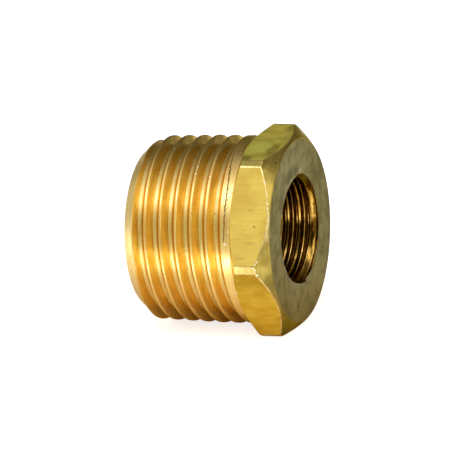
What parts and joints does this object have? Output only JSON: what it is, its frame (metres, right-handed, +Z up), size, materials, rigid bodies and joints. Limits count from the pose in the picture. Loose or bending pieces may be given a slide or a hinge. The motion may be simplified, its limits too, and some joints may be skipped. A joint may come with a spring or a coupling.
{
  "type": "threaded adapter",
  "caption": "Hexagon reducing bushing with a tapered male pipe thread outside and a smaller female pipe thread in its bore.",
  "frame": {"origin": "on the axis, in the plane of the shoulder where the hexagon meets the male thread", "axes": "+X along the axis, out of the female thread's mouth; +Z up, square to the hexagon's top and bottom flats, with the bottom flat on the floor; +Y across two corners"},
  "size_m": [0.0176, 0.0238, 0.021],
  "materials": {
    "brass": "turned and slightly tarnished"
  },
  "bodies": {
    "root": {"reducing_bushing": "brass"}
  },
  "joints": []
}
